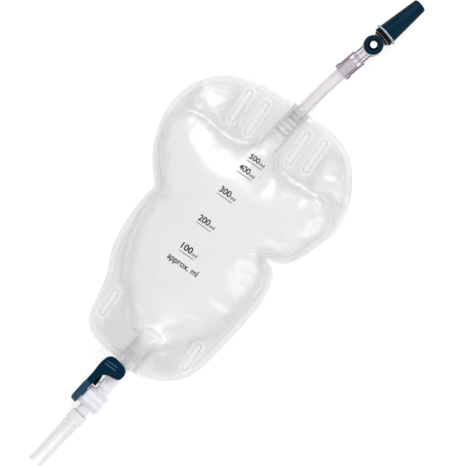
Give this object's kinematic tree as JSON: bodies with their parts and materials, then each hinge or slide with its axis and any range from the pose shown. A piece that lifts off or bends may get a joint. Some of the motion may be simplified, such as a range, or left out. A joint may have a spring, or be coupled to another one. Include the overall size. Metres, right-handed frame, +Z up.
{
  "type": "urine drainage leg bag",
  "caption": "Waisted clear film leg bag with welded strap slots, a sample port connector under a pull-off cap, and a lever tap with a soft outlet tube.",
  "frame": {"origin": "a point of the flat patch of the back film that rests on the table, near the middle of the bag", "axes": "+Z up and out of the bag's front, +Y from the tap to the inlet, along both ports, +X to the right seen from the front"},
  "size_m": [0.1472, 0.4199, 0.0316],
  "materials": {
    "clear_film": "clear, faintly milky film, glossy",
    "valve_film": "thin clear film",
    "clear_port": "clear moulded plastic, satin",
    "soft_tube": "soft translucent tube",
    "clear_connector": "clear moulded plastic with a lilac tint",
    "navy": "moulded navy plastic, satin gloss",
    "dark_grip": "near-black moulded plastic",
    "white_rubber": "white rubber, matt",
    "white_plug": "white moulded plastic",
    "milky_tap": "milky translucent moulded plastic"
  },
  "bodies": {
    "bag": {"front_film": "clear_film", "back_film": "clear_film", "valve_front_flap": "valve_film", "valve_back_flap": "valve_film", "inlet_port": "clear_port", "outlet_port": "clear_port", "inlet_tube": "soft_tube", "connector_body": "clear_connector", "sample_port_ring": "navy", "grip_sleeve": "dark_grip", "tap_body": "milky_tap", "barrel_end_cap": "milky_tap", "outlet_tube": "soft_tube"},
    "lever": {"tap_lever": "navy", "tap_plug": "white_plug"},
    "cap": {"protective_cap": "navy"},
    "septum": {"septum": "white_rubber"}
  },
  "joints": [
    {"name": "tap_turn", "type": "hinge", "parent": "bag", "child": "lever", "pos_m": [0.0168, -0.1416, 0.011], "axis": [1, 0, 0], "range_deg": [0, 135]},
    {"name": "cap_pull", "type": "slide", "parent": "bag", "child": "cap", "axis": [0.1132, 0.9936, 0], "range_m": [0, 0.032]},
    {"name": "septum_press", "type": "slide", "parent": "bag", "child": "septum", "axis": [0, 0, -1], "range_m": [0, 0.002], "stiffness_N_per_m": 600}
  ]
}
